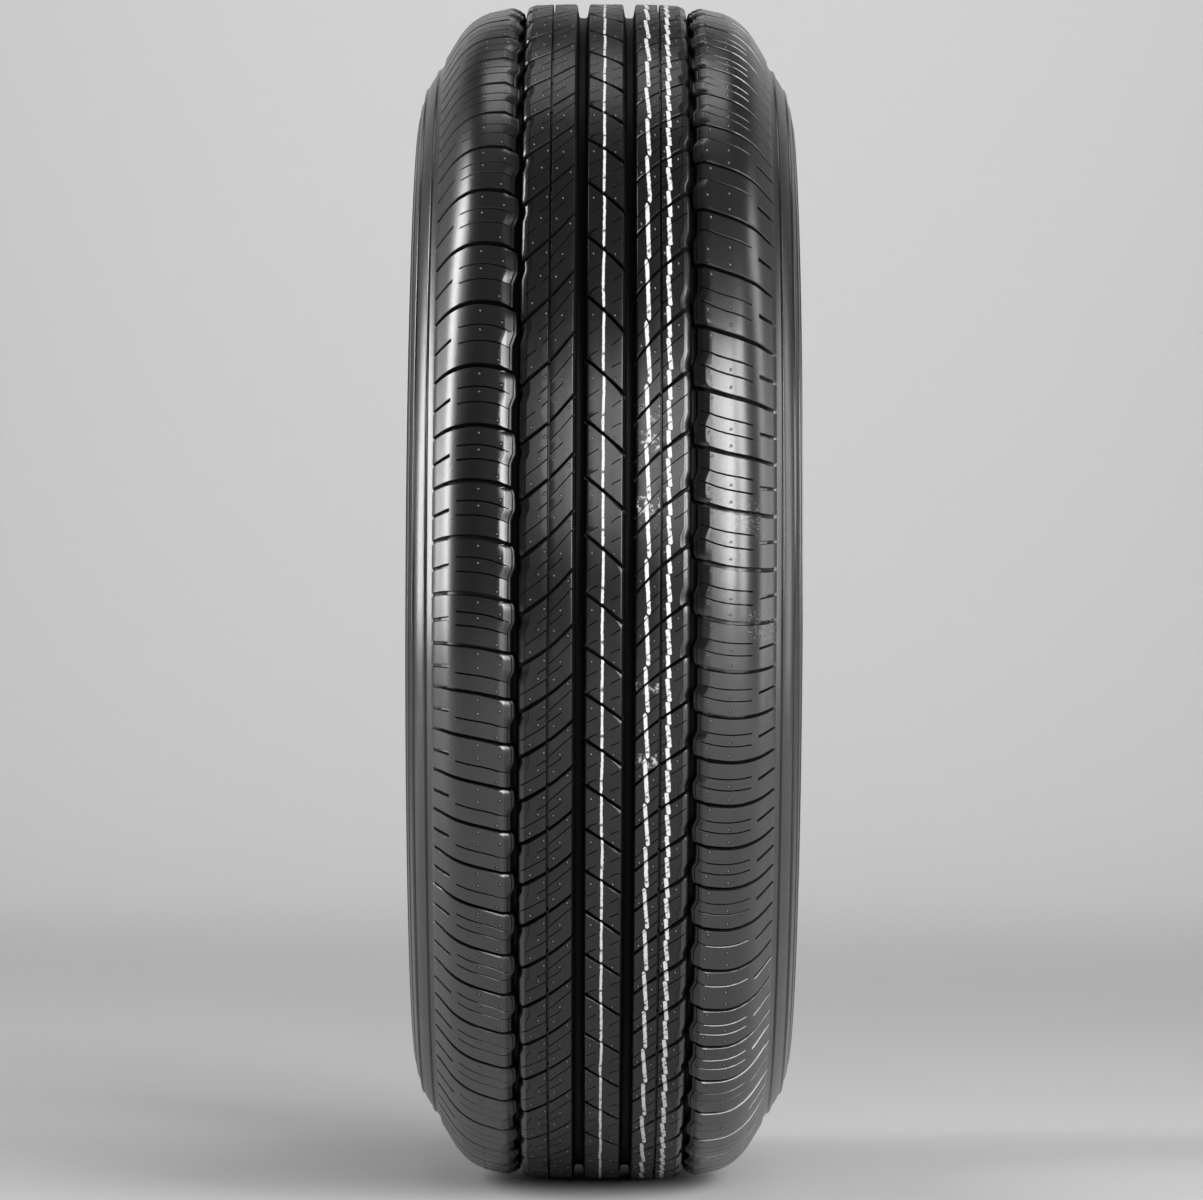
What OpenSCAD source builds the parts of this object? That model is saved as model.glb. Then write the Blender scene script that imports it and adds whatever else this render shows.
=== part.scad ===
// Passenger car tyre of the highway kind, as a bare tyre off its rim.
// It is one moulded ring of rubber: a crown with five ribs, two shoulders of blocks,
// two sidewalls, two beads and an open cavity. The origin is the wheel centre, the
// wheel spins about Y, and the tread is looked at from +X. Millimetres.

/* [Casing] */
// Outside diameter, over the tread
outer_d = 724; // [700:1:750]
// Greatest width, across the sidewalls
section_w = 228; // [222:1:240]
// Diameter of the two bead seats that grip the rim
rim_d = 436.6; // [426:0.2:446]
// Width across the outside of the two beads
bead_w = 165; // [155:1:175]
// Width of the flat seat under each bead
bead_seat_w = 20; // [16:0.5:24]
// Rubber and belts between the groove bottoms and the cavity
undertread = 9; // [6:0.5:12]
// Thickness of each sidewall at its widest point
sidewall_t = 8; // [6:0.5:11]
// Thickness of each shoulder, from the tread edge towards the wheel centre
shoulder_t = 15; // [12:0.5:18]
// Thickness of each sidewall low down, above its bead
apex_t = 11; // [8:0.5:14]

/* [Crown] */
// Width over which the crown curves down gently
crown_curve_w = 140; // [134:1:146]
// Fall of the crown at the end of the gentle curve
curve_drop = 5.4; // [4:0.2:7]
// Width between the two tread edges, where the blocks turn down
tread_w = 182; // [176:1:188]
// Fall of the crown at the tread edges
edge_drop = 22.5; // [18:0.5:26]
// Width between the outer ends of the shoulder blocks
blocks_w = 196; // [192:1:202]
// Fall of the crown where the shoulder blocks end
blocks_drop = 34; // [31:0.5:40]

/* [Grooves] */
// Depth of the four grooves that run round the tyre
groove_depth = 8.4; // [6:0.2:10]
// Width of the centre rib
centre_rib_w = 20.2; // [17:0.2:24]
// Width of each inner groove at the tread
inner_groove_w = 7.8; // [5:0.2:9]
// Width of each inner groove at its bottom
inner_floor_w = 4.8; // [3:0.2:5]
// Width of each intermediate rib, between its grooves
mid_rib_w = 27.6; // [24:0.2:30]
// Width of each wide outer groove at the tread
outer_groove_w = 10.8; // [9:0.2:12]
// Width of each wide groove at its bottom
outer_floor_w = 3.4; // [2:0.2:4]
// Width that the wide groove's wall slopes over on its rib side
rib_wall_w = 2.6; // [1:0.2:4]
// Width of the fine groove along the middle of each intermediate rib
fine_groove_w = 1.1; // [0.8:0.1:1.6]
// Depth of the fine groove
fine_groove_depth = 4.5; // [2:0.5:6]

/* [Tread pattern] */
// Width of the cross grooves between shoulder blocks
shoulder_slot_w = 2.2; // [1.4:0.1:3.4]
// Depth of the cross grooves at the wide groove
shoulder_slot_depth = 7; // [4:0.2:8]
// Depth of the cross grooves where they run out on the shoulder
slot_end_depth = 3; // [1.6:0.2:4]
// Width of the short groove in each block's outer end
stub_w = 2; // [1.4:0.1:3]
// Depth of the slanted grooves in the ribs
rib_slot_depth = 6.6; // [4:0.2:8]
// Width of the slanted grooves at an intermediate rib's outer edge
rib_slot_outer_w = 2.4; // [1.4:0.1:3]
// Width of the slanted grooves at an intermediate rib's inner edge
rib_slot_inner_w = 1.3; // [0.8:0.1:2.4]
// Width of the slanted grooves in the centre rib
centre_slot_w = 1.9; // [1.2:0.1:3]
// Depth of the scallops in an intermediate rib's outer edge
rib_scallop = 2.1; // [0.5:0.1:3]
// Depth of the scallops in a shoulder block's inner edge
block_scallop = 2.3; // [0.5:0.1:3]

/* [Sidewall] */
// Height of the step from the shoulder blocks down to the sidewall
sidewall_step = 1.2; // [0.4:0.1:2]
// Height of the moulded rings on each sidewall
ring_h = 0.9; // [0.4:0.1:1.6]
// Width of the moulded rings on each sidewall
ring_w = 2.2; // [1.4:0.1:4]
// Radius of the heel of each bead
heel_r = 6; // [3:0.5:9]

/* [Hidden] */
$fn = 240;

outer_r = outer_d / 2;
rim_r = rim_d / 2;
half_w = section_w / 2;
sidewall_h = outer_r - blocks_drop - rim_r;
half_bead = bead_w / 2;

// How far cutting shapes run past the surface
cut_over = 4;
// Steps that draw each stretch of the shoulder, of the sidewall and of the liner, and the heel
shoulder_steps = 3;
sidewall_steps = 5;
heel_steps = 3;
// Power by which the crown falls away from its centre rib
crown_power = 3;
// Leans from upright of the shoulder blocks, of the rubber above the bead and of the toe
blocks_lean = 30;
bead_lean = 41;
toe_lean = 17;

// Places up each sidewall, as shares of its height from bead to shoulder blocks
widest_share = 0.599;
upper_share = 0.8515;
lower_share = 0.308;
rim_line_share = 0.131;
ring_shares = [0.93, 0.825, 0.203];
// How far in from the widest point those places are, as shares of the half width
upper_in_share = 0.057;
lower_in_share = 0.07;
rim_line_in_share = 0.22;
// Thickness at the rim line and inside the shoulder blocks, as shares of those given above
foot_share = 1.5;
shoulder_share = 0.8;
// Size of the cut edge at the toe, as a share of the heel
toe_share = 0.25;
// Distance over which a slope is measured, as a share of the half width
probe_share = 0.005;

// Sizes of the pitches that repeat round the tread, as shares of the middle one.
// Five sizes are mixed so that the tread doesn't hum on one note.
pitch_shares = [0.81, 0.92, 1, 1.115, 1.245];
// The order of the pitches by size number, counted upwards from low on the front
pitch_order = str("443221100000012223444322234", "322100011223444322110001122334432211001223");
// Where the first pitch starts, as a share of a full turn
first_pitch_share = -0.1918;
// How far the right half's pattern is shifted from the left half's, in pitches
lag_share = 0.44;

// Grooves of the pattern on the left half: each point is how far across its rib or
// shoulder it is, from the outer edge inwards, and how far up its pitch.
rib_slot_shares = [[-0.06, -0.35], [0.48, -0.02], [1.06, 0.47]];
rib_scallop_shares = [[0, 0.29], [1, 0.45], [1, 0.67], [0, 0.67]];
block_scallop_shares = [[0, -0.12], [1, -0.12], [1, 0.27], [0, 0.45]];
shoulder_slot_shares = [[-0.1, 0], [1.06, -0.12]];
stub_shares = [[-0.12, 0.42], [0.26, 0.515]];
// Slanted groove of the centre rib, from its left edge to its right edge
centre_slot_shares = [[-0.04, 0.02], [0.5, -0.26], [1.04, -0.57]];

// Edges of the ribs and grooves, as distances from the centre line
centre_edge = centre_rib_w / 2;
rib_inner = centre_edge + inner_groove_w;
rib_outer = rib_inner + mid_rib_w;
block_inner = rib_outer + outer_groove_w;
blocks_outer = blocks_w / 2;

// Direction of the curve at q, where it comes from p and goes on to r
function heading(p, q, r) =
    let (a = norm(q - p), b = norm(r - q))
    ((q - p) / a * b + (r - q) / b * a) / (a + b);

// Smooth curve through the knots, with the headings that it starts and ends along
function smooth(knots, first, last, steps) =
    let (n = len(knots) - 1,
         way = [for (i = [0:n])
             i == 0 ? first : i == n ? last : heading(knots[i - 1], knots[i], knots[i + 1])])
    [for (i = [0:n - 1], k = [0:steps - (i == n - 1 ? 0 : 1)])
        let (f = k / steps, d = norm(knots[i + 1] - knots[i]))
        knots[i] * (1 - 3 * f ^ 2 + 2 * f ^ 3) + knots[i + 1] * (3 * f ^ 2 - 2 * f ^ 3)
        + way[i] * d * (f - 2 * f ^ 2 + f ^ 3) + way[i + 1] * d * (f ^ 3 - f ^ 2)];

// Radius of the crown at a distance x from the centre line
function crown_r(x) = let (f = (x - centre_edge) / (crown_curve_w / 2 - centre_edge))
    outer_r - curve_drop * max(f, 0) ^ crown_power;

// Half of the section, as points of distance from the centre line and radius
crown_end = [crown_curve_w / 2, outer_r - curve_drop];
blocks_end = [blocks_outer, outer_r - blocks_drop];
blocks_heading = [sin(blocks_lean), -cos(blocks_lean)];
crown_xs = [centre_edge, rib_inner, (rib_inner + rib_outer) / 2, rib_outer, block_inner];
tread_pts = concat(
    [for (x = crown_xs) [x, crown_r(x)]],
    smooth([crown_end, [tread_w / 2, outer_r - edge_drop]],
        [1, -crown_power * curve_drop / (crown_end.x - centre_edge)], blocks_heading, shoulder_steps),
    [blocks_end]);
upper = [half_w * (1 - upper_in_share), rim_r + upper_share * sidewall_h];
widest = [half_w, rim_r + widest_share * sidewall_h];
lower = [half_w * (1 - lower_in_share), rim_r + lower_share * sidewall_h];
rim_line = [half_w * (1 - rim_line_in_share), rim_r + rim_line_share * sidewall_h];
sidewall_pts = smooth([
    blocks_end - [sidewall_step, sidewall_step / 2],
    upper,
    widest,
    lower,
    rim_line], blocks_heading, [-sin(bead_lean), -cos(bead_lean)], sidewall_steps);
heel_pts = [for (a = [0:90 / heel_steps:90])
    [half_bead - heel_r * (1 - cos(a)), rim_r + heel_r * (1 - sin(a))]];
toe_pts = [
    [half_bead - bead_seat_w, rim_r],
    [half_bead - bead_seat_w - heel_r * toe_share, rim_r + heel_r * toe_share]];
liner_r = outer_r - groove_depth - undertread;
liner_bow = [crown_curve_w / 2 - shoulder_t / 2, curve_drop / 2];
liner_pts = smooth([
    [half_bead - bead_seat_w, rim_r + heel_r],
    rim_line - [apex_t * foot_share, -heel_r / 2],
    lower - [apex_t, 0],
    widest - [sidewall_t, 0],
    [min(blocks_outer, upper.x) - shoulder_t * shoulder_share, outer_r - edge_drop - shoulder_t],
    [liner_bow.x, liner_r - liner_bow.y]],
    [sin(toe_lean), cos(toe_lean)], [-1, 2 * liner_bow.y / liner_bow.x], sidewall_steps);

// Radius of the tread at a distance x from the centre line
function tread_r(x) = lookup(x, tread_pts);
// Outward direction of the tread at x
function tread_normal(x) =
    let (e = half_w * probe_share, rise = (tread_r(x + e) - tread_r(x - e)) / (2 * e))
    [-rise, 1] / norm([rise, 1]);
// Point under the tread at x, at the given depth
function below(x, depth) = [x, tread_r(x)] - tread_normal(x) * depth;
// Points of the tread from a out to b
function tread_run(a, b) = concat(
    [[a, tread_r(a)]], [for (p = tread_pts) if (p.x > a && p.x < b) p], [[b, tread_r(b)]]);

// Distance of the sidewall from the centre line at radius r
function sidewall_x(r) = lookup(r, [for (p = sidewall_pts) [p.y, p.x]]);
// Outward direction of the sidewall at radius r
function sidewall_normal(r) =
    let (e = half_w * probe_share, lean = (sidewall_x(r + e) - sidewall_x(r - e)) / (2 * e))
    [1, -lean] / norm([lean, 1]);
// Points of the sidewall from radius a down to b
function sidewall_run(a, b) = [for (p = sidewall_pts) if (p.y < a && p.y > b) p];
// Points of the moulded ring at radius r
function ring_run(r) =
    let (p = [sidewall_x(r), r], n = sidewall_normal(r), along = [-n.y, n.x] * ring_w / 2)
    [[sidewall_x(r + along.y), r + along.y],
     p + n * ring_h + along / 2,
     p + n * ring_h - along / 2,
     [sidewall_x(r - along.y), r - along.y]];

// Bottom of a groove that runs round the tyre, between a and b at the given depth
function groove_floor(a, b, depth) =
    let (r = tread_r((a + b) / 2) - depth) [[a, r], [b, r]];

// Half of the section, from the crown out, down to the bead and back up the liner
inner_slope = (inner_groove_w - inner_floor_w) / 2;
outer_floor = rib_outer + rib_wall_w;
fine_inner = (rib_inner + rib_outer - fine_groove_w) / 2;
fine_outer = fine_inner + fine_groove_w;
ring_radii = concat([for (s = ring_shares) rim_r + s * sidewall_h], [0]);
half_pts = concat(
    [[centre_edge, outer_r]],
    groove_floor(centre_edge + inner_slope, rib_inner - inner_slope, groove_depth),
    tread_run(rib_inner, fine_inner),
    groove_floor(fine_inner, fine_outer, fine_groove_depth),
    tread_run(fine_outer, rib_outer),
    groove_floor(outer_floor, outer_floor + outer_floor_w, groove_depth),
    tread_run(block_inner, blocks_outer),
    sidewall_run(outer_r, ring_radii[0] + ring_w / 2),
    [for (k = [0:len(ring_shares) - 1]) each concat(
        ring_run(ring_radii[k]),
        sidewall_run(ring_radii[k] - ring_w / 2, ring_radii[k + 1] + ring_w / 2))],
    heel_pts,
    toe_pts,
    liner_pts,
    [for (f = [0.5, 0]) [liner_bow.x * f, liner_r - liner_bow.y * f ^ 2]]);

// Angle round the tyre, from the front upwards, of a place counted in pitches
n_pitches = len(pitch_order);
function pitch_size(i) = pitch_shares[ord(pitch_order[i % n_pitches]) - ord("0")];
pitch_starts = [for (i = 0, a = 0; i <= n_pitches; a = a + pitch_size(i), i = i + 1) a];
function turn(t) =
    let (lap = floor(t / n_pitches), at = t - lap * n_pitches, i = floor(at),
         a = pitch_starts[i] + (at - i) * pitch_size(i))
    360 * (first_pitch_share + lap + a / pitch_starts[n_pitches]);
// Length along the tread between two such places
function along(a, b) = (turn(b) - turn(a)) * PI / 180 * outer_r;
// A place t up pitch i of the left half, or of the right half, which is turned about
function place(side, i, t) = side < 0 ? i + t : i + lag_share - t;

// Puts a shape drawn across, along and out from the tread at a place round it
module on_tread(t) {
    rotate([0, -turn(t), 0]) rotate([90, 0, 90]) children();
}

// A cut between two ribs or blocks, upright, with its outline given across and along
module upright_cut(t, outline, depth) {
    mid = abs(sum_x(outline)) / len(outline);
    on_tread(t) translate([0, 0, tread_r(mid) - depth])
        linear_extrude(depth + cut_over) polygon(outline);
}
function sum_x(pts, i = 0) = i < len(pts) ? pts[i].x + sum_x(pts, i + 1) : 0;

// Outline of a cut along a line of [across, place] points, with a half width at each
function cut_line(line, t, halves) =
    let (n = len(line) - 1,
         pts = [for (p = line) [p.x, along(t, p.y)]],
         up = [for (k = [0:n])
             let (d = pts[min(k + 1, n)] - pts[max(k - 1, 0)])
             halves[k] * norm(d) / abs(d.x)])
    concat([for (k = [0:n]) pts[k] - [0, up[k]]], [for (k = [n:-1:0]) pts[k] + [0, up[k]]]);

// Slanted groove of an intermediate rib
module rib_slot(side, i) {
    line = [for (p = rib_slot_shares)
        [side * (rib_outer - p.x * mid_rib_w), place(side, i, p.y)]];
    mean = (rib_slot_outer_w + rib_slot_inner_w) / 2;
    upright_cut(line[1].y, cut_line(line, line[1].y,
        [rib_slot_outer_w / 2, mean / 2, rib_slot_inner_w / 2]), rib_slot_depth);
}

// Slanted groove of the centre rib
module centre_slot(i) {
    line = [for (p = centre_slot_shares) [(p.x - 0.5) * centre_rib_w, i + p.y]];
    half = centre_slot_w / 2;
    upright_cut(line[1].y, cut_line(line, line[1].y, [half, half, half]), rib_slot_depth);
}

// Scallop beside a wide groove, cut from its edge by the given depth
module scallop(side, i, shares, edge, depth) {
    t = place(side, i, shares[1].y);
    upright_cut(t, [for (p = shares)
        let (over = sign(depth) * rib_wall_w * (1 - p.x))
        [side * (edge + depth * p.x - over), along(t, place(side, i, p.y))]], groove_depth);
}

// Cross cut over the shoulder along two [across, place] points, as an upright slab
module shoulder_cut(side, i, shares, width, depths, steps) {
    x = [for (p = shares) blocks_outer - p.x * (blocks_outer - block_inner)];
    t = [for (p = shares) place(side, i, p.y)];
    mid = (x[0] + x[1]) / 2;
    rise = along(t[0], t[1]);
    run = x[0] - x[1];
    stretch = norm([rise, run]) / run;
    bottom = [for (k = [0:steps])
        let (f = k / steps, at = x[0] - run * f)
        below(min(at, blocks_outer), depths[0] + (depths[1] - depths[0]) * f)
        + [max(at - blocks_outer, 0), 0]];
    outline = concat(bottom, [[x[1], outer_r + cut_over], [x[0], outer_r + cut_over]]);
    on_tread((t[0] + t[1]) / 2)
        translate([side * mid, 0, 0])
        rotate([90, 0, -atan(rise / run) * side])
        linear_extrude(width, center = true)
        polygon([for (p = outline) [side * (p.x - mid) * stretch, p.y]]);
}

// The tyre with the grooves that run all the way round
module casing() {
    left_pts = [for (k = [len(half_pts) - 2:-1:0]) half_pts[k]];
    rotate([-90, 0, 0]) rotate_extrude()
        polygon(concat([for (p = half_pts) [p.y, p.x]], [for (p = left_pts) [p.y, -p.x]]));
}

module tyre() {
    color("#1d1d1f") difference() {
        casing();
        for (i = [0:n_pitches - 1]) {
            centre_slot(i);
            for (side = [-1, 1]) {
                rib_slot(side, i);
                scallop(side, i, rib_scallop_shares, rib_outer, -rib_scallop);
                scallop(side, i, block_scallop_shares, block_inner, block_scallop);
                shoulder_cut(side, i, shoulder_slot_shares, shoulder_slot_w,
                    [slot_end_depth, shoulder_slot_depth], shoulder_steps);
                shoulder_cut(side, i, stub_shares, stub_w, [slot_end_depth, slot_end_depth], 1);
            }
        }
    }
}

tyre();
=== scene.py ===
import math

import bmesh
import bpy
import numpy as np
from mathutils import Matrix, Vector


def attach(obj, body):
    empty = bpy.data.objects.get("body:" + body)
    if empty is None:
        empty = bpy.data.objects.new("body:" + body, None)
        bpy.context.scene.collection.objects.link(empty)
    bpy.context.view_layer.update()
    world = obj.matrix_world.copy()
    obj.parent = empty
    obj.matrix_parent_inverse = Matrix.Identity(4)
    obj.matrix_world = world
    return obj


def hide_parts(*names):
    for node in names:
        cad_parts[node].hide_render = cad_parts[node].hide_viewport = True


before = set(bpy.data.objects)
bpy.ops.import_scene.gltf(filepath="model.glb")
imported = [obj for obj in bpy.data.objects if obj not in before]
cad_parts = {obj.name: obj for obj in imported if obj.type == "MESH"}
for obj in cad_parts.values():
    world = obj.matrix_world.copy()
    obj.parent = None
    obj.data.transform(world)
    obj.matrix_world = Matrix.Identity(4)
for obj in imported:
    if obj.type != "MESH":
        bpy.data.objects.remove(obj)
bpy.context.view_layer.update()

# The tyre stands upright, its axle along Y and its tread towards +X. Sizes are in
# millimetres until a finished mesh is scaled to metres.
MM = 0.001

# Section of the tyre: each _R is a radius, each _X a distance from the centre line
OUTSIDE_R = 362
NUB_HEIGHT = 0.3
TREAD_R = OUTSIDE_R - NUB_HEIGHT
FLAT_X = 10.1
CURVE_X, CURVE_R = 70, 356.6
EDGE_X, EDGE_R = 91, 339.5
BLOCKS_X, BLOCKS_R = 98, 328
BLOCKS_LEAN = math.radians(30)
BLOCKS_WAY = (math.sin(BLOCKS_LEAN), -math.cos(BLOCKS_LEAN))
GROOVE_DEPTH = 8.4
LINER_R = 344.6
LINER_EDGE_X = 62.5
RIM_R = 218.3
HALF_BEAD = 82.5
HEEL_R = 6
SEAT_W = 20
TOE_X = HALF_BEAD - SEAT_W
CASING_SECTORS, SECTOR_STEPS = 23, 12

# Pitches of the pattern by size, from low on the front upwards: those that the photo
# shows, then the rest of the way round
PITCH_SHARES = [0.81, 0.92, 1, 1.115, 1.245]
PITCH_ORDER = ("443221100000012223444322234"
               "322100011223444322110001122334432211001223")
PITCHES = len(PITCH_ORDER)
PITCH_STARTS = np.concatenate([[0], np.cumsum([PITCH_SHARES[int(c)] for c in PITCH_ORDER])])
UNIT_PITCH = 2 * math.pi * OUTSIDE_R / PITCH_STARTS[-1]
# Where the first pitch starts, in turns from the front
FIRST_PITCH = -0.1918

# Halves of the tyre. The right half has the left half's pattern turned about, and RIGHT_LAG
# pitches further on.
LEFT, CENTRE, RIGHT = -1, 0, 1
RIGHT_LAG = 0.44


# Curves of the section

def smooth_curve(knots, first, last, steps):
    """A smooth curve through the knots, starting and ending along the two headings."""
    knots = [np.array(k, float) for k in knots]
    ways = [np.array(first, float)]
    for p, q, r in zip(knots, knots[1:], knots[2:]):
        a, b = np.linalg.norm(q - p), np.linalg.norm(r - q)
        ways.append(((q - p) / a * b + (r - q) / b * a) / (a + b))
    ways.append(np.array(last, float))
    points = []
    for i in range(len(knots) - 1):
        d = np.linalg.norm(knots[i + 1] - knots[i])
        for f in np.linspace(0, 1, steps, endpoint=False):
            points.append(knots[i] * (1 - 3 * f**2 + 2 * f**3)
                          + knots[i + 1] * (3 * f**2 - 2 * f**3)
                          + ways[i] * d * (f - 2 * f**2 + f**3)
                          + ways[i + 1] * d * (f**3 - f**2))
    return [tuple(p) for p in points] + [tuple(knots[-1])]


def skin_curve():
    """The tread's surface as it would be with no grooves, from the centre line out."""
    drop = TREAD_R - CURVE_R
    span = CURVE_X - FLAT_X
    crown = [(x, TREAD_R - drop * max((x - FLAT_X) / span, 0)**3)
             for x in np.linspace(0, CURVE_X, 28, endpoint=False)]
    edge = smooth_curve([(CURVE_X, CURVE_R), (EDGE_X, EDGE_R)], (1, -3 * drop / span), BLOCKS_WAY, 16)
    # straight on past the end of the blocks, for what stands over it
    past = np.array((BLOCKS_X, BLOCKS_R)) * 1.5 - np.array((EDGE_X, EDGE_R)) * 0.5
    return np.array(crown + edge + [(BLOCKS_X, BLOCKS_R), tuple(past)])


SKIN = skin_curve()
SKIN_ARC = np.concatenate([[0], np.cumsum(np.linalg.norm(np.diff(SKIN, axis=0), axis=1))])
SKIN_WAY = np.gradient(SKIN, SKIN_ARC, axis=0)


def on_skin(arc, height):
    """Distance from the centre line, and radius, of places at an arc across the tread."""
    far = np.abs(arc)
    x, r = (np.interp(far, SKIN_ARC, SKIN[:, k]) for k in (0, 1))
    wx, wr = (np.interp(far, SKIN_ARC, SKIN_WAY[:, k]) for k in (0, 1))
    size = np.hypot(wx, wr)
    return (x - wr / size * height) * np.where(arc < 0, -1, 1), r + wx / size * height


def angle_at(place):
    """The angle from the front upwards of a place counted in pitches."""
    lap = np.floor(np.asarray(place, float) / PITCHES)
    at = np.interp(place - lap * PITCHES, np.arange(PITCHES + 1), PITCH_STARTS)
    return 2 * math.pi * (FIRST_PITCH + lap + at / PITCH_STARTS[-1])


def place_at(angle):
    """The place in pitches at an angle."""
    turns = np.asarray(angle, float) / (2 * math.pi) - FIRST_PITCH
    return np.interp((turns % 1) * PITCH_STARTS[-1], PITCH_STARTS, np.arange(PITCHES + 1))


# Mesh helpers

def get_points(mesh):
    co = np.empty(len(mesh.vertices) * 3)
    mesh.vertices.foreach_get("co", co)
    return co.reshape(-1, 3)


def set_points(mesh, co):
    mesh.vertices.foreach_set("co", np.asarray(co, np.float32).ravel())


def to_object(bm, name):
    """Turns faces outwards and makes the bmesh an object."""
    bmesh.ops.recalc_face_normals(bm, faces=bm.faces)
    mesh = bpy.data.meshes.new(name)
    bm.to_mesh(mesh)
    bm.free()
    obj = bpy.data.objects.new(name, mesh)
    bpy.context.scene.collection.objects.link(obj)
    return obj


def wrap(bm, name, half):
    """Wraps a flat piece of pattern round the tyre and joins its rows. Its points are an arc
    across the tread, a place in pitches and a height over the skin."""
    mesh = bpy.data.meshes.new(name)
    bm.to_mesh(mesh)
    bm.free()
    arc, place, height = get_points(mesh).T
    across, r = on_skin(arc, height)
    angle = angle_at(RIGHT_LAG - place if half == RIGHT else place)
    across = -across if half == LEFT else across
    set_points(mesh, np.stack([r * np.cos(angle), across, r * np.sin(angle)], 1) * MM)
    wrapped = bmesh.new()
    wrapped.from_mesh(mesh)
    bpy.data.meshes.remove(mesh)
    bmesh.ops.remove_doubles(wrapped, verts=wrapped.verts, dist=0.001 * MM)
    return to_object(wrapped, name)


def outline(points):
    """A flat face through (across, height, corner radius) points, with rounded corners."""
    bm = bmesh.new()
    corners = [bm.verts.new((x, 0, z)) for x, z, _ in points]
    bm.faces.new(corners)
    for radius in sorted({r for _, _, r in points if r}):
        bmesh.ops.bevel(bm, geom=[v for v, p in zip(corners, points) if p[2] == radius],
                        offset=radius, offset_type="OFFSET", segments=3, profile=0.5,
                        affect="VERTICES", material=-1)
    return bm


def strip(bm, section, stations, shape):
    """One pitch of a rib or block row, drawn through its stations. The function shape moves
    each point across by what it returns for (across, height, place)."""
    flat = outline(section)
    mesh = bpy.data.meshes.new("outline")
    flat.to_mesh(mesh)
    flat.free()
    bm.from_mesh(mesh)
    bpy.data.meshes.remove(mesh)
    bmesh.ops.delete(bm, geom=bm.faces[:], context="FACES_ONLY")
    edges = bm.edges[:]
    bmesh.ops.translate(bm, verts=bm.verts, vec=(0, stations[0], 0))
    for place in stations[1:] + [stations[0] + 1]:
        made = bmesh.ops.extrude_edge_only(bm, edges=edges)["geom"]
        row = {g for g in made if isinstance(g, bmesh.types.BMVert)}
        edges = [g for g in made if isinstance(g, bmesh.types.BMEdge) and row.issuperset(g.verts)]
        for v in row:
            v.co.y = place
    for v in bm.verts:
        v.co.x += shape(v.co.x, v.co.z, v.co.y)


# How far a cutter stands over the skin, and a rimmed slot's width at its floor, as a share
CUTTER_TOP = 1
FLOOR_SHARE = 0.8


def slot(bm, path, length, half, depth, rim=0, lips=(1, 1)):
    """A cutter along a path of (arc, place) points, for a pitch of the given length. The rim
    is the cut edge at the surface, and lips are its shares below and above the slot. Half its
    width, its depth, rim and lips are each one value, or a list with one for each point."""
    n = len(path)
    halves, depths, rims, lips = (v if isinstance(v, list) else [v] * n for v in (half, depth, rim, lips))
    face = None
    for k in range(n):
        before, after = path[max(k - 1, 0)], path[min(k + 1, n - 1)]
        across, along = after[0] - before[0], (after[1] - before[1]) * length
        slant = math.hypot(across, along) / abs(across) / length
        wall, edge, flare = halves[k] * slant, rims[k] * slant, CUTTER_TOP * slant * 0.5
        floor = -depths[k]
        if rim:
            rows = [(-wall * FLOOR_SHARE, floor), (-wall, -rims[k]),
                    (-wall - edge * lips[k][0] - flare, CUTTER_TOP),
                    (wall + edge * lips[k][1] + flare, CUTTER_TOP),
                    (wall, -rims[k]), (wall * FLOOR_SHARE, floor)]
        else:
            rows = [(-wall, floor), (-wall, CUTTER_TOP), (wall, CUTTER_TOP), (wall, floor)]
        points = [Vector((path[k][0], path[k][1] + s, h)) for s, h in rows]
        if face is None:
            face, last = bm.faces.new([bm.verts.new(p) for p in points]), points
            continue
        made = bmesh.ops.extrude_face_region(bm, geom=[face])["geom"]
        if k > 1:
            bm.faces.remove(face)
        face = next(g for g in made if isinstance(g, bmesh.types.BMFace))
        for v in face.verts:
            v.co = points[min(range(len(points)), key=lambda j: (v.co - last[j]).length)]
        last = points


def round_the_tyre(draw, name, half):
    """Draws one pitch of a pattern for each pitch size and repeats it round the tyre."""
    whole = bmesh.new()
    patterns = {}
    for i, size in enumerate(PITCH_ORDER):
        if size not in patterns:
            one = bmesh.new()
            draw(one, UNIT_PITCH * PITCH_SHARES[int(size)], int(size))
            patterns[size] = bpy.data.meshes.new("pitch")
            one.to_mesh(patterns[size])
            one.free()
        count = len(whole.verts)
        whole.from_mesh(patterns[size])
        whole.verts.ensure_lookup_table()
        bmesh.ops.translate(whole, verts=whole.verts[count:], vec=(0, i, 0))
    for mesh in patterns.values():
        bpy.data.meshes.remove(mesh)
    return wrap(whole, name, half)


def cut(obj, cutters):
    """Cuts each cutter out of the object."""
    for cutter in cutters:
        step = obj.modifiers.new("cut", "BOOLEAN")
        step.operation, step.solver, step.object = "DIFFERENCE", "MANIFOLD", cutter
    done = bpy.data.meshes.new_from_object(obj.evaluated_get(bpy.context.evaluated_depsgraph_get()))
    obj.modifiers.clear()
    old, obj.data = obj.data, done
    bpy.data.meshes.remove(old)
    for cutter in cutters:
        bpy.data.objects.remove(cutter)


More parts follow.
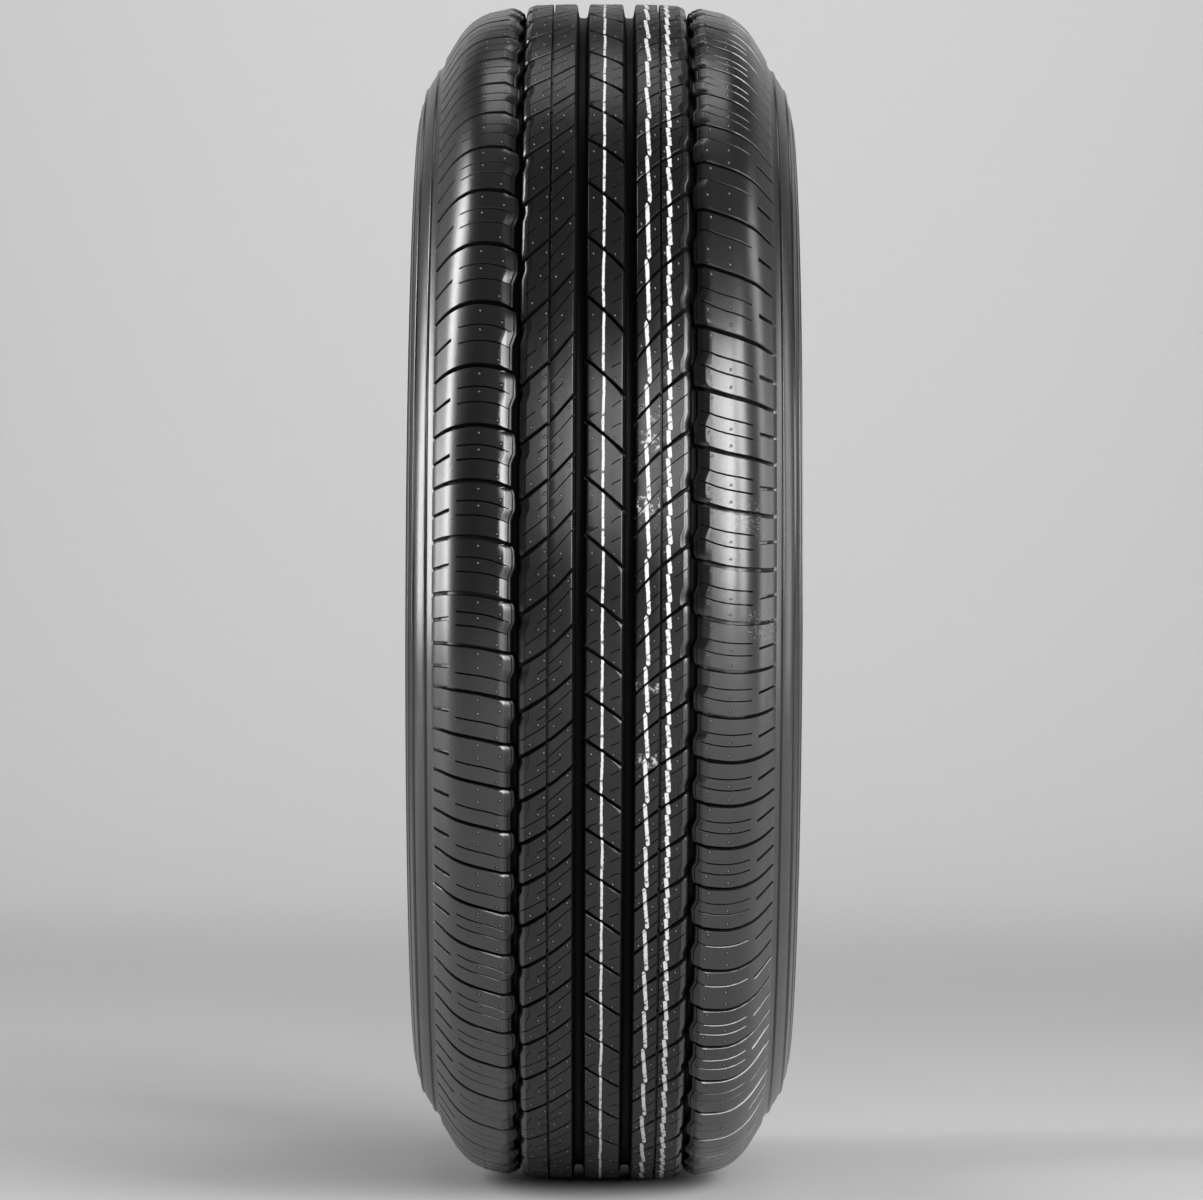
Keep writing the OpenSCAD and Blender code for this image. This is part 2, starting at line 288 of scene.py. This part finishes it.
def lay_map(obj):
    """Lays the pattern's map on a piece: millimetres across, and pitches round."""
    mesh = obj.data
    x, y, z = get_points(mesh).T
    across, place = y / MM, place_at(np.arctan2(z, x))
    loops = np.empty(len(mesh.loops), np.int32)
    mesh.loops.foreach_get("vertex_index", loops)
    first = np.empty(len(mesh.polygons), np.int32)
    mesh.polygons.foreach_get("loop_start", first)
    count = np.diff(np.append(first, len(loops)))
    u, v = across[loops], place[loops]
    lead = np.repeat(v[first], count)
    v = v - np.round((v - lead) / PITCHES) * PITCHES
    for old in mesh.uv_layers[:]:
        mesh.uv_layers.remove(old)
    layer = mesh.uv_layers.new(name="pattern")
    layer.data.foreach_set("uv", np.stack([u, v], 1).astype(np.float32).ravel())


def finish_piece(obj, material, sharp=30):
    """Shading, pattern map, material and body of a finished piece."""
    lay_map(obj)
    obj.data.shade_smooth()
    obj.data.set_sharp_from_angle(angle=math.radians(sharp))
    obj.data.materials.clear()
    obj.data.materials.append(material)
    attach(obj, "root")


def waved(table, place):
    """The value of a repeating table of (place, value) rows."""
    places, values = zip(*table)
    return float(np.interp((place - places[0]) % 1 + places[0], places, values))


# Vent marks, at (arc, place) points of a pitch

SHOULDER_VENTS = [(71.5, 0.53), (71.5, 0.83), (60.5, 0.03), (58.6, 0.61)]
RIB_VENTS = [(41.6, 0.89), (33.7, 0.72), (24.6, 0.69), (37, 0.33), (28.2, 0.31), (20.3, 0.22)]
CENTRE_VENTS = [(-7, 0.70), (5.5, 0.69), (-0.9, 0.1)]
VENT_R, VENT_DEPTH = 1.05, 0.8
NUB_R, NUB_ROOT, NUB_BEVEL = 0.5, 1.2, 0.2


def vent_part(bm, u, t, length, radius, low, high, bevel):
    """A small round stub, or the cutter of the dent around it, at one vent of the mould."""
    before = set(bm.verts)
    made = bmesh.ops.create_cone(bm, cap_ends=True, segments=8, radius1=radius, radius2=radius,
                                 depth=high - low)
    top = {v for v in made["verts"] if v.co.z > 0}
    if bevel:
        rim = [e for e in {e for v in top for e in v.link_edges} if top.issuperset(e.verts)]
        bmesh.ops.bevel(bm, geom=rim, offset=bevel, segments=1, profile=0.5, affect="EDGES", material=-1)
    for v in bm.verts:
        if v not in before:
            v.co = u + v.co.x, t + v.co.y / length, v.co.z + (low + high) / 2


def vent_ring(places, name, half, *measures):
    """Vent parts of the given measures at the places of every pitch."""
    def draw(bm, length, size):
        for u, t in places:
            vent_part(bm, u, t, length, *measures)
    return round_the_tyre(draw, name, half)


def vent_dents(places, half):
    return vent_ring(places, "dents", half, VENT_R, -VENT_DEPTH, CUTTER_TOP, 0)


def vent_nubs(places, name, half, material):
    finish_piece(vent_ring(places, name, half, NUB_R, -NUB_ROOT, NUB_HEIGHT, NUB_BEVEL), material)


# Centre rib

CENTRE_SECTION = [(-11.9, -9.6, 0), (-10.2, -0.6, 0.5), (-9.6, 0, 0.5), (-5, 0, 0), (0, 0, 0),
                  (5, 0, 0), (9.6, 0, 0.5), (10.2, -0.6, 0.5), (11.9, -9.6, 0)]


CENTRE_STATIONS = [k / 6 for k in range(6)]
CENTRE_SLOT = [(-12.5, 0.06), (-10, 0), (-7.5, -0.06), (-5, -0.12), (0, -0.25), (5, -0.39),
               (7.5, -0.46), (10.7, -0.55), (12.8, -0.61)]
CENTRE_RIMS = [0.9, 0.8, 0.5, 0.3, 0.3, 0.3, 0.5, 0.8, 0.9]
CENTRE_LIPS = [(0.6, 4.2), (0.6, 4.2), (0.8, 2.5), (1, 1), (1, 1), (1, 1), (2.5, 0.8), (4.2, 0.6),
               (4.2, 0.6)]
CENTRE_SIPES = [[(-9.3, 0.39), (-6, 0.46), (-3.6, 0.51)], [(-9.2, 0.04), (-6, 0.11), (-3.8, 0.145)],
                [(3.9, 0.23), (6.5, 0.29), (9.2, 0.34)], [(3.9, -0.115), (6.5, -0.07), (9.2, -0.03)]]


def centre_cuts(bm, length, size):
    slot(bm, CENTRE_SLOT, length, 0.95, 6.6, CENTRE_RIMS, CENTRE_LIPS)
    for line in CENTRE_SIPES:
        slot(bm, line, length, 0.3, 4.5)


def centre_rib(material):
    def draw(bm, length, size):
        strip(bm, CENTRE_SECTION, CENTRE_STATIONS, lambda u, h, t: 0)
    ring = round_the_tyre(draw, "centre_rib", CENTRE)
    cut(ring, [round_the_tyre(centre_cuts, "centre_slots", CENTRE), vent_dents(CENTRE_VENTS, CENTRE)])
    finish_piece(ring, material)


# Intermediate ribs

RIB_SECTION = [(16.1, -9.6, 0), (17.7, -0.8, 0.6), (18.4, 0, 0.5), (22.5, 0, 0), (27, 0, 0),
               (31.0, 0, 0.2), (31.2, -4.5, 0), (32.2, -4.5, 0), (32.4, 0, 0.2), (36.5, 0, 0),
               (40.5, 0, 0), (44, 0, 0), (44.1, -0.7, 0), (44.4, -0.7, 0), (44.5, -0.25, 0),
               (46.3, -0.75, 0), (47.7, -1.6, 0), (48.4, -2.8, 0), (50.6, -9.6, 0)]
RIB_STATIONS = [-0.38, -0.32, -0.2, -0.05, 0.12, 0.29, 0.45, 0.53]
# How far the rib's outer edge steps in, from the arc where it starts; less at its foot
RIB_EDGE = [(-0.38, 2), (-0.32, 0), (0.29, 0), (0.45, 2), (0.62, 2)]
RIB_EDGE_START, RIB_EDGE_FALL = 43, 0.6
DIAGONAL = [(50, -0.46), (47.5, -0.41), (45.5, -0.365), (44, -0.33), (40, -0.235), (35.5, -0.125),
            (31.4, -0.02), (27, 0.11), (22.5, 0.26), (19.4, 0.368), (17, 0.45), (14.5, 0.53)]
DIAGONAL_HALVES = [1.3, 1.3, 1.25, 1.2, 1.1, 1, 0.9, 0.8, 0.75, 0.7, 0.7, 0.7]
DIAGONAL_RIMS = [0.7, 0.7, 0.6, 0.5, 0.35, 0.3, 0.3, 0.3, 0.3, 0.4, 1.2, 1.6]


def rib_shape(u, h, t):
    if u < RIB_EDGE_START:
        return 0
    return -waved(RIB_EDGE, t) * (1 + h / GROOVE_DEPTH * RIB_EDGE_FALL)


def rib_diagonals(bm, length, size):
    slot(bm, DIAGONAL, length, DIAGONAL_HALVES, 6.6, DIAGONAL_RIMS, (1, 0.6))


def rib_sipes(bm, length, size):
    lines = [[(31.2, 0.635), (27, 0.78), (22.5, 0.94), (16.5, 1.15)],
             [(37.6, 0.43), (34.8, 0.5), (32.1, 0.57)],
             [(31.2, 0.40), (27.5, 0.50), (23.6, 0.62)]]
    if size >= 3:
        lines += [[(46.5, 0.0), (43, 0.08), (39.3, 0.15)], [(35.6, 0.23), (32.1, 0.33)]]
    else:
        start = (44.2, 0.03) if size % 2 else (47, -0.03)
        lines += [[start, (40, 0.135), (36, 0.23), (32.1, 0.33)]]
    for line in lines:
        slot(bm, line, length, 0.32, 5)


def rib(name, half, material):
    def draw(bm, length, size):
        strip(bm, RIB_SECTION, RIB_STATIONS, rib_shape)
    ring = round_the_tyre(draw, name, half)
    cut(ring, [round_the_tyre(rib_diagonals, "diagonals", half),
               round_the_tyre(rib_sipes, "sipes", half), vent_dents(RIB_VENTS, half)])
    finish_piece(ring, material)


# Shoulder blocks

SHOULDER_TOP = (61, 65, 69, 73, 77, 80, 83, 86, 88.5, 91, 94, 97, 101, 106)
SHOULDER_SECTION = [(50.2, -9.6, 0), (50.5, -4.3, 0.5), (51.5, -3.5, 0.3), (52.2, -3.3, 0),
                    (52.5, -2.4, 0.2), (56.3, -0.3, 0.4), (57, 0, 0), *[(u, 0, 0) for u in SHOULDER_TOP],
                    (111.4, 0, 0.6), (112.2, -2.6, 0), (108, -4, 0), (101, -6.4, 0), (92, -8, 0),
                    (82, -9.4, 0), (70, -9.8, 0), (60, -9.8, 0)]
SHOULDER_STATIONS = [-0.3, -0.24, -0.19, -0.16, -0.09, 0.1, 0.27, 0.36, 0.45, 0.5, 0.6, 0.66]
# How far the blocks' inner edge steps out, up to the arc where that ends
BLOCK_EDGE = [(-0.3, 0), (-0.24, 0.3), (-0.19, 1.1), (-0.16, 2.5), (-0.09, 2.4), (0.27, 2.4),
              (0.45, 0), (0.7, 0)]
BLOCK_EDGE_END = 59
CROSS_SLOT = [(116, -0.065), (112, -0.05), (107, -0.025), (101, -0.004), (95, 0.002), (88, 0.003),
              (80, 0), (74, -0.013), (69, -0.035), (63.5, -0.07), (58, -0.11), (54, -0.145), (49, -0.19)]
CROSS_DEPTHS = [3, 3, 3.4, 4, 4.4, 5, 5.6, 6, 6.4, 6.8, 7, 7, 7]
CROSS_RIMS = [0.4] * 9 + [0.6, 0.9, 0.9, 0.9]
EDGE_NOTCH = [(116, 0.41), (112, 0.43), (106, 0.458), (100, 0.483), (92, 0.51)]
LOW_SIPE = [(86.5, 0.39), (80, 0.382), (74, 0.37), (69, 0.352), (63, 0.315), (58, 0.265), (54, 0.22)]
HIGH_SIPE = [(86.5, 0.65), (80, 0.64), (74, 0.627), (69, 0.608), (63, 0.565), (58, 0.51), (54, 0.465)]


def shoulder_shape(u, h, t):
    return waved(BLOCK_EDGE, t) if u < BLOCK_EDGE_END else 0


def shoulder_slots(bm, length, size):
    slot(bm, CROSS_SLOT, length, 0.95 + 0.12 * size, CROSS_DEPTHS, CROSS_RIMS, (1, 0.5))
    slot(bm, EDGE_NOTCH, length, 1, [2.6, 2.6, 3, 3, 3], 0.35)


def shoulder_sipes(bm, length, size):
    # the smallest pitch has one sipe
    for line in [LOW_SIPE, HIGH_SIPE] if size else [LOW_SIPE]:
        slot(bm, line, length, 0.3, [4, 5, 5, 5, 5, 5, 5], 0.35)


def shoulder(name, half, material):
    def draw(bm, length, size):
        strip(bm, SHOULDER_SECTION, SHOULDER_STATIONS, shoulder_shape)
    ring = round_the_tyre(draw, name, half)
    cut(ring, [round_the_tyre(shoulder_slots, "shoulder_slots", half),
               round_the_tyre(shoulder_sipes, "shoulder_sipes", half), vent_dents(SHOULDER_VENTS, half)])
    finish_piece(ring, material)


# Casing: groove floors, sidewalls, beads and liner

# Groove floors and what lies under the ribs, as (arc, height over the skin)
CROWN_BASE = [(0, -7.2), (9, -7.2), (10.9, -7.2), (11.7, -7.9), (12.6, -8.4), (15.4, -8.4), (16.3, -7.9),
              (17.2, -7.2), (24, -7.4), (31.7, -7.4), (40, -7.4), (46.6, -7.3), (48.4, -7.8), (49.6, -8.4),
              (51.2, -8.4), (54, -8.4), (58, -8.4), (63, -8.4), (70, -8.2), (77, -8), (84, -7.2),
              (92, -5.6), (101, -3.8), (108, -2.4), (111, -1.9)]
SIDEWALL = [(96.8, 327.4), (107.5, 311.7), (114, 284), (106, 252.1), (88.9, 232.7)]
# Moulded rings of the sidewall: radius, width and height
SIDE_RINGS = [(320.3, 2.0, 0.9), (308.8, 2.0, 0.9), (300.2, 0.9, 0.35), (292.5, 0.9, 0.35),
              (246.5, 1.2, 0.5), (240.6, 2.4, 0.9)]
LINER = [(TOE_X, RIM_R + HEEL_R), (72.4, 235.7), (95, 252.1), (106, 284), (86, 324.5),
         (LINER_EDGE_X, 341.9)]
MERGE = 0.01


def ring_line(points, r, width, height):
    """Adds a moulded ring to a run of sidewall points, at radius r."""
    line = np.array(points)
    order = np.argsort(line[:, 1])

    def at(q):
        return np.array((np.interp(q, line[order, 1], line[order, 0]), q))

    a, b = at(r + width / 2), at(r - width / 2)
    way = (b - a) / np.linalg.norm(b - a)
    out = np.array((-way[1], way[0])) * height
    bump = [a, a + way * width * 0.15 + out * 0.75, a + way * width * 0.35 + out,
            b - way * width * 0.35 + out, b - way * width * 0.15 + out * 0.75, b]
    above = [p for p in points if p[1] > a[1] + 0.2]
    below = [p for p in points if p[1] < b[1] - 0.2]
    return above + [tuple(p) for p in bump] + below


def sidewall():
    points = smooth_curve(SIDEWALL, BLOCKS_WAY, (-0.656, -0.755), 9)
    for r, width, height in SIDE_RINGS:
        points = ring_line(points, r, width, height)
    return points


def bead():
    heel = [(HALF_BEAD - HEEL_R * (1 - math.cos(a)), RIM_R + HEEL_R * (1 - math.sin(a)))
            for a in np.linspace(0, math.pi / 2, 9)]
    return heel + [(TOE_X + 0.6, RIM_R), (TOE_X - 0.3, RIM_R + 0.3), (TOE_X - 1.5, RIM_R + 1.5)]


def liner():
    crown = [(x, LINER_R - 2.7 * (x / LINER_EDGE_X)**2) for x in (48, 32, 16)]
    return smooth_curve(LINER, (0.29, 0.96), (-1, 0.086), 6) + crown


def crown_base():
    arcs, heights = np.array(CROWN_BASE, float).T
    return [(float(x), float(r)) for x, r in zip(*on_skin(arcs, heights))]


def casing(material):
    half = crown_base() + sidewall() + bead() + liner() + [(0, LINER_R)]
    bm = bmesh.new()
    line = [bm.verts.new((0, x, r)) for x, r in half]
    for a, b in zip(line, line[1:]):
        bm.edges.new((a, b))
    bmesh.ops.mirror(bm, geom=bm.verts[:] + bm.edges[:], axis="Y", merge_dist=MERGE)
    bmesh.ops.spin(bm, geom=bm.verts[:] + bm.edges[:], cent=(0, 0, 0), axis=(0, 1, 0), dvec=(0, 0, 0),
                   angle=2 * math.pi / CASING_SECTORS, steps=SECTOR_STEPS, use_merge=False,
                   use_normal_flip=False, use_duplicate=False)
    mesh = bpy.data.meshes.new("sector")
    bm.to_mesh(mesh)
    for k in range(1, CASING_SECTORS):
        count = len(bm.verts)
        bm.from_mesh(mesh)
        bm.verts.ensure_lookup_table()
        bmesh.ops.rotate(bm, verts=bm.verts[count:], cent=(0, 0, 0),
                         matrix=Matrix.Rotation(2 * math.pi * k / CASING_SECTORS, 3, "Y"))
    bpy.data.meshes.remove(mesh)
    bmesh.ops.remove_doubles(bm, verts=bm.verts, dist=MERGE)
    bmesh.ops.scale(bm, vec=(MM, MM, MM), verts=bm.verts)
    ring = to_object(bm, "casing")
    finish_piece(ring, material)
    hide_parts("tyre")


# Materials

class Term:
    """A value or colour in a surface's nodes. Sums on it add Math nodes."""

    def __init__(self, surface, socket):
        self.surface, self.socket = surface, socket

    def maths(self, operation, *others):
        values = {i: v for i, v in enumerate((self, *others))}
        return self.surface.node("ShaderNodeMath", {"operation": operation}, values)

    def __add__(self, other):
        return self.maths("ADD", other)

    def __mul__(self, other):
        return self.maths("MULTIPLY", other)

    def __sub__(self, other):
        return self.maths("SUBTRACT", other)

    __radd__ = __add__
    __rmul__ = __mul__

    def __rsub__(self, other):
        return self.surface.node("ShaderNodeMath", {"operation": "SUBTRACT"}, {0: other, 1: self})

    def within(self, low, high, soft):
        """1 between low and high, falling to 0 over the soft distance on each side."""
        return self.rise(low - soft, low + soft) * (1 - self.rise(high - soft, high + soft))

    def rise(self, low, high):
        """From 0 at low to 1 at high."""
        return self.surface.node("ShaderNodeMapRange", {"interpolation_type": "SMOOTHSTEP"},
                                 {"Value": self, "From Min": low, "From Max": high})


class Surface:
    """A material built from a Principled shader."""

    def __init__(self, name):
        self.material = bpy.data.materials.new(name)
        self.material.use_nodes = True
        self.tree = self.material.node_tree
        self.shader = self.tree.nodes["Principled BSDF"]

    def node(self, kind, settings=None, values=None, out=0):
        made = self.tree.nodes.new(kind)
        for name, value in (settings or {}).items():
            setattr(made, name, value)
        for key, value in (values or {}).items():
            if isinstance(value, Term):
                self.tree.links.new(value.socket, made.inputs[key])
            else:
                made.inputs[key].default_value = value
        return Term(self, made.outputs[out])

    def feed(self, **inputs):
        """Sets the shader's sockets, named with underscores for spaces."""
        for name, value in inputs.items():
            socket = self.shader.inputs[name.replace("_", " ")]
            if isinstance(value, Term):
                self.tree.links.new(value.socket, socket)
            else:
                socket.default_value = value

    def noise(self, where, scale, detail=2, rough=0.5):
        return self.node("ShaderNodeTexNoise", {}, {"Vector": where, "Scale": scale, "Detail": detail,
                                                    "Roughness": rough})

    def parts(self, vector):
        """The three parts of a vector."""
        split = self.node("ShaderNodeSeparateXYZ", {}, {0: vector}).socket.node
        return [Term(self, out) for out in split.outputs]

    def mix(self, share, a, b):
        return self.node("ShaderNodeMix", {"data_type": "RGBA"}, {0: share, 6: a, 7: b}, 2)


def grey(level):
    return (level, level, level, 1)


# Marking lines painted on the ribs: middle, width and slant in millimetres across, then the
# place where a dash starts and the dashes in a pitch
PAINT_LINES = [(-0.9, 1.4, -0.3, 0.2, 1), (24.3, 2.1, 1.7, 0.39, 1), (36.4, 2.3, 1.3, 0.3, 2)]
# Patches of mould release on the right rib: from and to in places, and how softly they end
FLECKS = [(15.38, 15.72, 0.06), (16.5, 16.82, 0.06), (17.02, 17.3, 0.06), (12.05, 12.25, 0.05),
          (10.4, 10.7, 0.05)]
# Base greys; the groove grey is painted shade for the groove floors
RUBBER_LOW, RUBBER_HIGH, GROOVE_SHADE_GREY, SCUFF_GREY, PAINT_GREY = 0.005, 0.010, 0.003, 0.16, 0.75
# Radii in metres between which the ribs' tops, the grooves' walls and the sidewall band lie
RIB_TOPS, GROOVE_WALLS, SIDE_BAND = (0.3594, 0.3597), (0.3530, 0.3585), (0.3100, 0.3190)
BAND_TEETH = 1300


def rubber():
    """Black tyre rubber, fresh from the mould, with paint lines on the ribs and painted shade in the
    grooves.
    """
    s = Surface("tyre_rubber")
    where = s.node("ShaderNodeTexCoord", {}, {}, "Object")
    x, y, z = s.parts(where)
    r = (x * x + z * z).maths("SQRT")
    angle = z.maths("ARCTAN2", x)
    side = y.maths("ABSOLUTE")
    across, place = s.parts(s.node("ShaderNodeUVMap", {"uv_map": "pattern"}))[:2]

    # paint lines, on the tops of the ribs only
    top = r.rise(*RIB_TOPS)
    wander = (s.noise(where, 30, 2) - 0.5) * 1.6 + (s.noise(where, 600, 2) - 0.5) * 0.9

    def stripe(middle, width, slant, phase, steps):
        step = (place * steps + phase).maths("FRACT")
        off = (across + wander - middle - (0.5 - step) * slant).maths("ABSOLUTE")
        ends = (step - 0.5).maths("ABSOLUTE").rise(0.455, 0.5) * 0.9
        return 1 - (off + ends).rise(width / 2 - 0.2, width / 2 + 0.2)

    paint = stripe(*PAINT_LINES[0])
    for line in PAINT_LINES[1:]:
        paint = paint.maths("MAXIMUM", stripe(*line))
    worn = s.noise(where, 400, 3, 0.6).rise(0.25, 0.5)
    flecks = place.within(*FLECKS[0])
    for patch in FLECKS[1:]:
        flecks = flecks + place.within(*patch)
    flecks = flecks * across.within(18, 31, 0.4) * s.noise(where, 230, 4, 0.7).rise(0.5, 0.62)
    paint = (paint * (0.6 + worn * 0.4)).maths("MAXIMUM", flecks * 0.6) * top

    # painted shade darkening the grooves between the shoulders towards their floors, and two scuffs on the
    # right shoulder
    groove_shade = (1 - r.rise(*GROOVE_WALLS)) * (1 - side.rise(0.0535, 0.0575))
    mottle = s.noise(where, 45, 4, 0.6)
    base = s.mix(mottle, grey(RUBBER_LOW), grey(RUBBER_HIGH))
    # painted shade: the base fades to near black down the groove walls and on the groove floors
    base = s.mix(groove_shade, base, grey(GROOVE_SHADE_GREY))
    drawn = s.node("ShaderNodeMapping", {},
                   {"Vector": where, "Rotation": (0.5, 0, 0), "Scale": (1, 0.2, 1)})
    scuffs = across.within(72, 88, 1.5) * place.within(15.05, 15.65, 0.12)
    scuffs = scuffs + across.within(80, 98, 2) * place.within(13.1, 13.7, 0.12)
    scuffs = scuffs * s.noise(drawn, 700, 3, 0.7).rise(0.5, 0.66)
    base = s.mix(scuffs * 0.6, base, grey(SCUFF_GREY))
    base = s.mix(paint, base, grey(PAINT_GREY))

    # the shoulders shine most, their inner slopes and the paint less, the grooves hardly
    polish = side.rise(0.0440, 0.0455) * 0.5 - side.within(0.0500, 0.0560, 0.0008) * 0.38
    fine = s.noise(where, 420, 3, 0.6)
    shine = (0.22 + mottle * 0.2 + fine * 0.18 + polish) * (1 - groove_shade * 0.95) * (1 - paint * 0.8)

    # fine ribbing of the sidewall's upper band
    grain = s.noise(where, 1500, 2, 0.5)
    serration = (angle * BAND_TEETH).maths("SINE") * r.within(*SIDE_BAND, 0.0004)
    height = grain * 0.00004 + serration * 0.00022 + paint * 0.00005
    normal = s.node("ShaderNodeBump", {}, {"Strength": 1.0, "Distance": 1.0, "Height": height})
    s.feed(Base_Color=base, Roughness=0.45, IOR=1.1, Normal=normal,
           Coat_Weight=shine, Coat_Roughness=0.27, Coat_IOR=1.92)
    return s.material


def stub_painted_glint():
    """Vent stubs, paler than the moulded skin: a painted highlight that stands in for the glints on their
    tips.
    """
    s = Surface("stub_painted_glint")
    where = s.node("ShaderNodeTexCoord", {}, {}, "Object")
    # painted highlight: pale grey with a random tone over the whole stub
    s.feed(Base_Color=s.mix(s.noise(where, 900, 2), grey(0.08), grey(0.3)), Roughness=0.35)
    return s.material


# Studio

def plain(name, level, rough):
    s = Surface(name)
    s.feed(Base_Color=grey(level), Roughness=rough)
    return s.material


def studio():
    """A pale sweep: a floor that curves up into a backdrop far behind the tyre."""
    bm = bmesh.new()
    floor, front, back, bend, top, half_width = -0.362, 7, -4.3, 1.8, 4.5, 8
    profile = [(front, floor), (back, floor)]
    profile += [(back - bend * math.sin(a), floor + bend * (1 - math.cos(a)))
                for a in np.linspace(0.1, math.pi / 2, 16)]
    profile += [(back - bend, top)]
    line = [bm.verts.new((x, -half_width, z)) for x, z in profile]
    edges = [bm.edges.new(pair) for pair in zip(line, line[1:])]
    made = bmesh.ops.extrude_edge_only(bm, edges=edges)["geom"]
    far = [g for g in made if isinstance(g, bmesh.types.BMVert)]
    bmesh.ops.translate(bm, verts=far, vec=(0, 2 * half_width, 0))
    sweep = to_object(bm, "sweep")
    sweep.data.shade_smooth()
    sweep.data.materials.append(plain("pale_sweep", 0.57, 0.9))


def softbox(name, azimuth, elevation, distance, size, power, target=(0, 0, 0)):
    """A soft lamp that looks at the tyre, at angles in degrees round it from the camera."""
    a, e = math.radians(azimuth), math.radians(elevation)
    place = Vector((math.cos(e) * math.cos(a), math.cos(e) * math.sin(a), math.sin(e))) * distance
    light = bpy.data.lights.new(name, "AREA")
    light.shape, (light.size, light.size_y), light.energy = "RECTANGLE", size, power
    obj = bpy.data.objects.new(name, light)
    obj.location = place
    obj.rotation_euler = (Vector(target) - place).to_track_quat("-Z", "Y").to_euler()
    bpy.context.scene.collection.objects.link(obj)


def lights():
    softbox("right_softbox", 34, 20, 3, (0.95, 2.3), 70)
    softbox("side_softbox", 59, 19, 3, (0.9, 2.2), 46)
    softbox("front_softbox", 5, 25, 3, (1, 1.5), 20)
    softbox("right_strip", 106, 16, 2.3, (0.5, 2), 9)
    softbox("left_strip", -104, 22, 2.3, (0.5, 2.2), 38)
    softbox("top_softbox", 180, 70, 2.4, (1.6, 0.8), 6)
    softbox("backdrop_lamp", 180, 42, 4.6, (3, 1), 110, (-6.1, 0, 0.6))
    world = bpy.data.worlds.new("studio")
    world.use_nodes = True
    world.node_tree.nodes["Background"].inputs["Color"].default_value = grey(0.06)
    bpy.context.scene.world = world


def camera():
    data = bpy.data.cameras.new("camera")
    data.lens, data.sensor_width = 185.5, 36
    obj = bpy.data.objects.new("camera", data)
    obj.location = 3.837, -0.0015, -0.0053
    obj.rotation_euler = math.radians(90), math.radians(-0.24), math.radians(90)
    bpy.context.scene.collection.objects.link(obj)
    bpy.context.scene.camera = obj


def build():
    # the vent stubs get a pale grey that is a painted highlight for their glints
    black, pale_glint = rubber(), stub_painted_glint()
    casing(black)
    centre_rib(black)
    for side, half in (("left", LEFT), ("right", RIGHT)):
        rib(side + "_rib", half, black)
        shoulder(side + "_shoulder", half, black)
        vent_nubs(SHOULDER_VENTS + RIB_VENTS, side + "_vent_nubs", half, pale_glint)
    vent_nubs(CENTRE_VENTS, "centre_vent_nubs", CENTRE, pale_glint)


camera()
lights()
studio()
build()
bpy.context.scene.view_settings.view_transform = "Standard"
